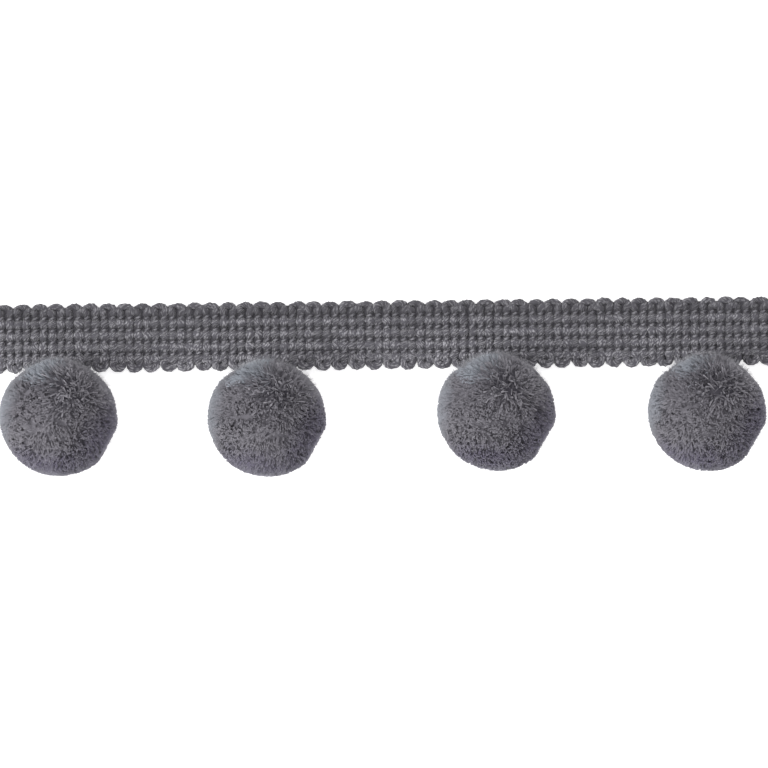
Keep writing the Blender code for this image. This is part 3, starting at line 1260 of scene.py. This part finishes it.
    def comb(self) -> Points:
        """Brush the pile away from the parting and gather it into tufts.

        Returns:
            How each yarn end leans, as a vector along the ball's surface.
        """
        ends, rng = self.ends, self.rng
        crown = self.parting_direction()
        away = unit(ends * (ends @ crown)[:, None] - crown)
        aside = np.cross(ends, away)
        lean = self.least_lean + self.leaning_ring.share(self.parting_angle(ends))
        lean += self.pressed_lean * self.pressed
        wander = rng.normal(0.0, self.stray, (len(ends), 2)) * self.ruffled[:, None]
        wander += self.eddy_lean * np.sin(ends @ self.eddies.T + self.number)
        loose = 1.0 - self.pressed[:, None]
        wander += loose * rng.uniform(-1.0, 1.0, (len(self.tufts), 2))[self.tuft] * self.tuft_lean
        leaning = away * (lean + wander[:, 0])[:, None]
        leaning += aside * (self.aside_lean * lean + wander[:, 1])[:, None]
        gather = self.tuft_gather * (0.6 + 0.6 * Patch.RIGHT.share(ends))[:, None]
        return leaning + gather * loose * (self.tufts[self.tuft] - ends)

    def hidden(self, ends: Points) -> Points:
        """Give how far painted shade darkens the pile: most around the parting and on the right.
        """
        lit_rim = self.rim_light * Patch.RIGHT_RIM.share(ends)
        shaded = self.right_shade * Patch.RIGHT.share(ends) * (1.0 - lit_rim)
        return np.maximum(self.dark_ring.share(self.parting_angle(ends)), shaded)

    def painted_light_balance(self) -> Points:
        """Give the painted light and shade on the pile: how much lighter it is away from the
        braid, at the parting and in some patches, and how much darker in others.

        Returns:
            What is added to each yarn end's tone.
        """
        lighter = self.braid_painted_shade * (self.ends @ np.array(self.towards_braid))
        parted = smooth_step(self.ends @ self.parting_direction(), *self.parted_edge)
        lighter += self.parted_tone * parted
        for patch, weight in self.painted_light_patches:
            lighter += weight * patch.share(self.ends)
        return lighter

    def cast(self) -> Points:
        """Give each yarn end's cast: violet painted shade on the right side and along the lower
        rim, and painted sheen where the pile is pressed flat.

        Returns:
            The casts, from 0 for violet painted shade through a third for none to 1 for painted
            sheen.
        """
        below = self.violet_below * Patch.VIOLET_BELOW.share(self.ends)
        violet = np.maximum(Patch.VIOLET_RIGHT.share(self.ends), below)
        mottled = violet * self.rng.uniform(*self.violet_mottle, len(violet))
        # violet painted shade, then painted sheen where the pile is pressed flat
        return (1.0 - mottled) / 3.0 + (2.0 / 3.0) * self.pressed

    def outline(self, ways: Points) -> Points:
        """Give the trimmed radius in each direction: nearly round, flatter at lower right.

        Args:
            ways: the directions.

        Returns:
            The radii.
        """
        waves = np.sin(5.0 * ways[:, 0] + self.number) * np.cos(4.0 * ways[:, 1])
        sides = [weight * patch.share(ways) for patch, weight in self.trims]
        trimmed = np.max(sides, axis=0) + self.flat_corner * Patch.FLAT_CORNER.share(ways)
        fuller = self.full_side * Patch.FULL_SIDE.share(ways)
        return self.radius * (1.0 + self.outline_waves * waves + fuller - trimmed)

    def fibre_lines(self) -> tuple[Points, Points]:
        """Give where the fibres start and end.

        Returns:
            The roots and the tips, from the pompom's centre.
        """
        up, lean = self.ends[self.owner], self.lean[self.owner]
        length = self.rng.normal(0.0, 1.0, len(self.ends)) * self.end_length * self.ruffled
        length *= 1.0 - self.pressed_calm * self.pressed
        spread = self.rng.normal(0.0, self.fibre_scatter, up.shape) * self.end_radius
        spread -= up * np.sum(spread * up, axis=1, keepdims=True)
        root = unit(up * self.radius + spread) * self.root_radius
        tip_way = unit(up * self.radius + spread * (1.0 - self.gather) + lean * self.radius)
        outline = self.outline(tip_way)
        off_axis = np.linalg.norm(spread, axis=1) / self.end_radius
        reach = outline + length[self.owner] - self.end_rounding * off_axis
        reach -= np.abs(self.rng.normal(0.0, self.fibre_shortness, len(up)))
        reach = np.minimum(reach, outline - self.outline_margin)
        return self.above_floor(root), self.above_floor(tip_way * reach[:, None])

    def fibre_tones(self, end_tone: Points) -> Points:
        """Give how light the fibres are.

        Args:
            end_tone: each yarn end's own tone.

        Returns:
            The tones, from 0 to 1.
        """
        tone = end_tone[self.owner] + self.rng.normal(0.0, self.fibre_tone, len(self.owner))
        # painted light and shade by side and patch
        tone += self.painted_light_balance()[self.owner]
        contrast = self.ruffled - self.pressed_evenness * self.pressed
        return np.clip(0.5 + (tone - 0.5) * contrast[self.owner], 0.0, 1.0)

    def pile_mesh(self) -> Mesh:
        """Make the pile as one mesh of closed fibres, copied from the strands.

        Returns:
            The mesh, with its pile attribute and its bake map.
        """
        rng, owner, count = self.rng, self.owner, len(self.owner)
        end_tone = rng.uniform(*self.end_tones, len(self.ends))
        end_tone += rng.uniform(-self.tuft_tone, self.tuft_tone, len(self.tufts))[self.tuft]
        end_cast = self.cast()
        root, tip = self.fibre_lines()
        tone = self.fibre_tones(end_tone)
        radii = self.fibre_radius * rng.uniform(*self.fibre_spread, count)
        kinds = (rng.random(count) < self.cut_share).astype(int)
        strays = self.stray_numbers()
        kinds[strays] = 0  # pointed
        radii[strays] = self.stray_radius
        up = self.ends[owner[strays]]
        lengths = rng.uniform(*self.stray_lengths, (len(strays), 1))
        tip[strays] += up * lengths * self.stray_reach
        tip = self.above_floor(tip)

        along = np.stack([strand.along for strand in self.strands])[kinds]
        faces = np.stack([strand.faces for strand in self.strands])[kinds]
        spokes = np.stack([strand.spokes for strand in self.strands])[kinds]
        corners, facing = self.place_copies(root, tip, spokes * radii[:, None, None], along)
        mesh = joined_copies(f"pompom_{self.number}_pile", corners, faces)
        hidden = rng.uniform(0.0, 1.0, len(self.ends)) ** self.hidden_power
        hidden *= self.hidden(self.ends)
        # painted shade: darker towards the roots, and on some ends around the parting and right
        painted_light = blend(self.evenness, 1.0, along) * (1.0 - hidden)[owner][:, None]
        steps = np.stack([self.step_of(tone), self.step_of(end_cast[owner])], 1)
        pile = np.empty((*painted_light.shape, 3))
        pile[:, :, :2] = (steps / (self.look_steps - 1))[:, None]
        pile[:, :, 2] = painted_light
        set_attribute(mesh, "pile", "FLOAT_VECTOR", pile)
        corner_painted_light = np.take_along_axis(painted_light, faces.reshape(count, -1), axis=1)
        self.lay_out_bake_map(mesh, corner_painted_light.reshape(faces.shape), steps)
        soften(mesh, facing, unit(corners), self.softness)
        return mesh

    def step_of(self, share: Points) -> Points:
        """Sort shares from 0 to 1 into whole steps."""
        return np.clip((share * self.look_steps).astype(int), 0, self.look_steps - 1)

    def stray_numbers(self) -> Points:
        """Choose the fibres that stick out of the pile, mostly on the braid's side.

        Returns:
            The chosen fibres' numbers.
        """
        near = smooth_step(self.ends[self.owner, 1], *self.stray_side)
        weight = self.stray_elsewhere + near
        share = weight / weight.sum()
        return self.rng.choice(len(share), self.stray_fibres, replace=False, p=share)

    def above_floor(self, points: Points) -> Points:
        """Lay what would reach below the surface level on it."""
        lowest = self.floor_gap - self.centre.z
        return np.column_stack([points[:, :2], np.maximum(points[:, 2], lowest)])

    def place_copies(
        self, root: Points, tip: Points, spokes: Points, along: Points
    ) -> tuple[Points, Points]:
        """Stretch one copy of a strand from each root to each tip.

        Args:
            root: where each fibre starts, from the pompom's centre.
            tip: where it ends.
            spokes: how far each of its points lies from its middle line.
            along: how far along it each of its points lies, from 0 to 1.

        Returns:
            The points of every copy, and the directions in which they face.
        """
        share = along[:, :, None]
        line = root[:, None] * (1.0 - share) + tip[:, None] * share
        axis = unit(tip - root)
        side = unit(np.cross(axis, self.rng.normal(0.0, 1.0, axis.shape)))
        face = np.cross(axis, side)
        offset = side[:, None] * spokes[:, :, :1] + face[:, None] * spokes[:, :, 1:]
        facing = unit(unit(offset) + axis[:, None] * (0.2 + 0.8 * share))
        return line + offset, facing

    def lay_out_bake_map(self, mesh: Mesh, painted_light: Points, steps: Points) -> None:
        """Send every fibre of one tone and cast to one small cell of the bake map.

        Args:
            mesh: the pile.
            painted_light: the pile's painted light at each face corner.
            steps: each fibre's steps of tone and of cast.
        """
        across = np.broadcast_to(np.array([0.25, 0.5, 0.75]), painted_light.shape)
        cell = np.stack([across, 0.1 + 0.8 * painted_light], 3)
        bake = mesh.uv_layers.new(name="OFBake")
        bake.uv.foreach_set("vector", ((steps[:, None, None] + cell) / self.look_steps).ravel())

    def heart_mesh(self) -> Mesh:
        """Make the dense heart that closes the view between the fibres.

        Returns:
            A smooth ball with the pile's attribute.
        """
        bm = bmesh.new()
        bmesh.ops.create_icosphere(bm, subdivisions=4, radius=self.heart_radius)
        bmesh.ops.translate(bm, verts=bm.verts, vec=self.centre)
        mesh = finished(bm, f"pompom_{self.number}_heart")
        mesh.shade_smooth()
        outward = unit(read_points(mesh) - np.array(self.centre))
        look = np.tile(np.array(self.heart_look), (len(outward), 1))
        # painted shade: the heart is darker where the pile's painted shade lies
        look[:, 2] *= 1.0 - self.hidden(outward)
        set_attribute(mesh, "pile", "FLOAT_VECTOR", look)
        return mesh

    def build(self, material: Material) -> None:
        """Build the pompom's pile and its heart.

        Args:
            material: the pile's finish.
        """
        node = f"pompom_{self.number}"
        pile = self.pile_mesh()
        pile.transform(Matrix.Translation(self.centre))
        add_piece(f"{node}_pile", pile, material, node)
        add_piece(f"{node}_heart", self.heart_mesh(), material, node)


def joined_copies(name: str, corners: Points, faces: Points) -> Mesh:
    """Join many copies of one small triangle mesh.

    Args:
        name: the mesh's name.
        corners: the points of each copy, in one order.
        faces: the triangles of each copy, by the numbers of its points.

    Returns:
        The joined mesh.
    """
    count, size = corners.shape[:2]
    indices = (faces + (np.arange(count) * size)[:, None, None]).ravel()
    mesh = bpy.data.meshes.new(name)
    mesh.vertices.add(count * size)
    mesh.vertices.foreach_set("co", corners.ravel())
    mesh.loops.add(len(indices))
    mesh.loops.foreach_set("vertex_index", indices)
    mesh.polygons.add(len(indices) // 3)
    mesh.polygons.foreach_set("loop_start", np.arange(0, len(indices), 3))
    mesh.update(calc_edges=True)
    return mesh


def soften(mesh: Mesh, facing: Points, outward: Points, share: float) -> None:
    """Turn the shading of fibres partly outwards, as that of soft pile is.

    Args:
        mesh: the pile.
        facing: the direction in which each point of a fibre faces.
        outward: the direction from the pompom's centre to it.
        share: how far it is turned outwards, from 0 to 1.
    """
    mesh.shade_smooth()
    turned = unit(facing * (1.0 - share) + outward * share)
    mesh.normals_split_custom_set_from_vertices(turned.reshape(-1, 3))


# --- Ties --------------------------------------------------------------------


@dataclass
class Tie:
    """The thread that holds one pompom to a lower loop of the braid."""

    number: int
    start: Vector  # inside the loop
    centre: Vector  # of the pompom
    radius: float = 0.62 * MM
    bend: float = 0.9 * MM  # how far on both sides of the start it runs across the loop
    rings: int = 14
    twist_length: float = 2.4 * MM

    def route(self) -> Route:
        """Lead the thread from inside its loop to inside the pile.

        Returns:
            The thread's route.
        """
        inward = (self.centre - self.start).normalized()
        bends = np.array(
            [
                self.start + Vector((0.0, self.bend, 0.0)),
                self.start,
                self.start + Vector((0.0, -self.bend, 0.2 * MM)),
                self.start + inward * 2.6 * MM + Vector((0.0, -0.5 * MM, -0.4 * MM)),
                self.start + inward * 4.6 * MM,
            ]
        )
        share = np.linspace(0.0, len(bends) - 1.0, self.rings)
        line = [np.interp(share, np.arange(len(bends)), column) for column in bends.T]
        return Route(np.stack(line, 1), np.full(self.rings, self.radius), np.ones(self.rings))

    def build(self, material: Material) -> None:
        """Build the tie.

        Args:
            material: the thread's finish.
        """
        thread = Sweep(
            f"tie_{self.number}_thread",
            PliedSection(plies=2, points_per_ply=6, depth=0.22),
            [self.route()],
            twist_length=self.twist_length,
            bake_columns=1,
        )
        add_piece(thread.name, thread.mesh(), material, f"tie_{self.number}")


# --- Studio ------------------------------------------------------------------


@dataclass
class Studio:
    """A plain pale surface, soft light and a camera straight above."""

    frame_width: float = 195.2 * MM
    target: Triple = (0.25 * MM, 0.82 * MM, 8.0 * MM)
    distance: float = 4.0
    roll_degrees: float = -0.6
    sensor_mm: float = 36.0
    floor_size: float = 3.0
    floor_level: float = -0.05 * MM
    key_place: Triple = (-2.1, -0.35, 1.7)
    key_size: float = 1.2
    key_watts: float = 54.0
    sky: tuple[float, float, float, float] = (1.0, 0.985, 1.0, 1.0)
    sky_strength: float = 0.97

    def build_floor(self) -> None:
        """Lay the surface on which the trim rests."""
        bm = bmesh.new()
        bmesh.ops.create_grid(bm, x_segments=1, y_segments=1, size=self.floor_size)
        bmesh.ops.translate(bm, verts=bm.verts, vec=(0.0, 0.0, self.floor_level))
        mesh = finished(bm, "studio_floor")
        mesh.materials.append(PaperFinish().make())
        floor = add_object(mesh.name, mesh)

    def build_lights(self) -> None:
        """Light the trim softly from the left, with an even fill."""
        data = bpy.data.lights.new("key", "AREA")
        data.size = self.key_size
        data.energy = self.key_watts
        light = add_object("key", data)
        light.location = self.key_place
        light.rotation_euler = Vector(self.key_place).to_track_quat("Z", "Y").to_euler()
        world = bpy.data.worlds.new("studio_air")
        world.use_nodes = True
        background = world.node_tree.nodes["Background"]
        background.inputs["Color"].default_value = self.sky
        background.inputs["Strength"].default_value = self.sky_strength
        bpy.context.scene.world = world
        bpy.context.scene.view_settings.view_transform = "Standard"

    def build_camera(self) -> None:
        """Hang the camera straight above the trim, turned a touch as the trim lies."""
        data = bpy.data.cameras.new("camera")
        data.sensor_width = self.sensor_mm
        data.lens = self.sensor_mm * self.distance / self.frame_width
        camera = add_object("camera", data)
        camera.location = Vector(self.target) + Vector((0.0, 0.0, self.distance))
        camera.rotation_euler = (0.0, 0.0, math.radians(self.roll_degrees))
        bpy.context.scene.camera = camera


# --- The trim ----------------------------------------------------------------

# shade is the painted shade's colour, and the flecks' colour is painted lighter as a highlight
CORD = CordFinish("soft_spun_cord", shade="403f43", body="616066", fleck_and_highlight="d4d3d9")
THREAD = CordFinish(
    "binding_thread",
    shade="38373c",
    body="7c7b81",
    fleck_and_highlight="bebdc3",
    fleck_width_mm=0.35,
    fleck_length_mm=1.4,
    bump_mm=0.06,
)
TIE_LOOPS = (7, 19, 32, 44)  # the lower loops that hold the pompoms, counted from the left
TIE_HEIGHT = 0.95 * MM
POMPOM_HEIGHT = 13.7 * MM


def main() -> None:
    """Build the studio, the braid and the pompoms, in that order."""
    logging.basicConfig(level=logging.INFO, format="%(name)s %(message)s")
    studio = Studio()
    studio.build_camera()
    studio.build_floor()
    studio.build_lights()

    low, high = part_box("band")
    braid = Braid(Vector(low), Vector(high))
    braid.build(CORD, THREAD)

    pile_material = PileFinish().make()
    tie_material = THREAD.make()
    strands = tuple(Strand(end) for end in FibreEnd)
    for number, loop in enumerate(TIE_LOOPS, start=1):
        low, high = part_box(f"pompom_{number}")
        middle = (Vector(low) + Vector(high)) / 2.0
        centre = Vector((middle.x, middle.y, POMPOM_HEIGHT))
        Pompom(number, centre, strands).build(pile_material)
        loop_x = braid.low.x + loop * braid.run_pitch * 2.0
        start = Vector((loop_x, braid.low.y, TIE_HEIGHT))
        Tie(number, start, centre).build(tie_material)


if __name__ == "__main__":
    main()
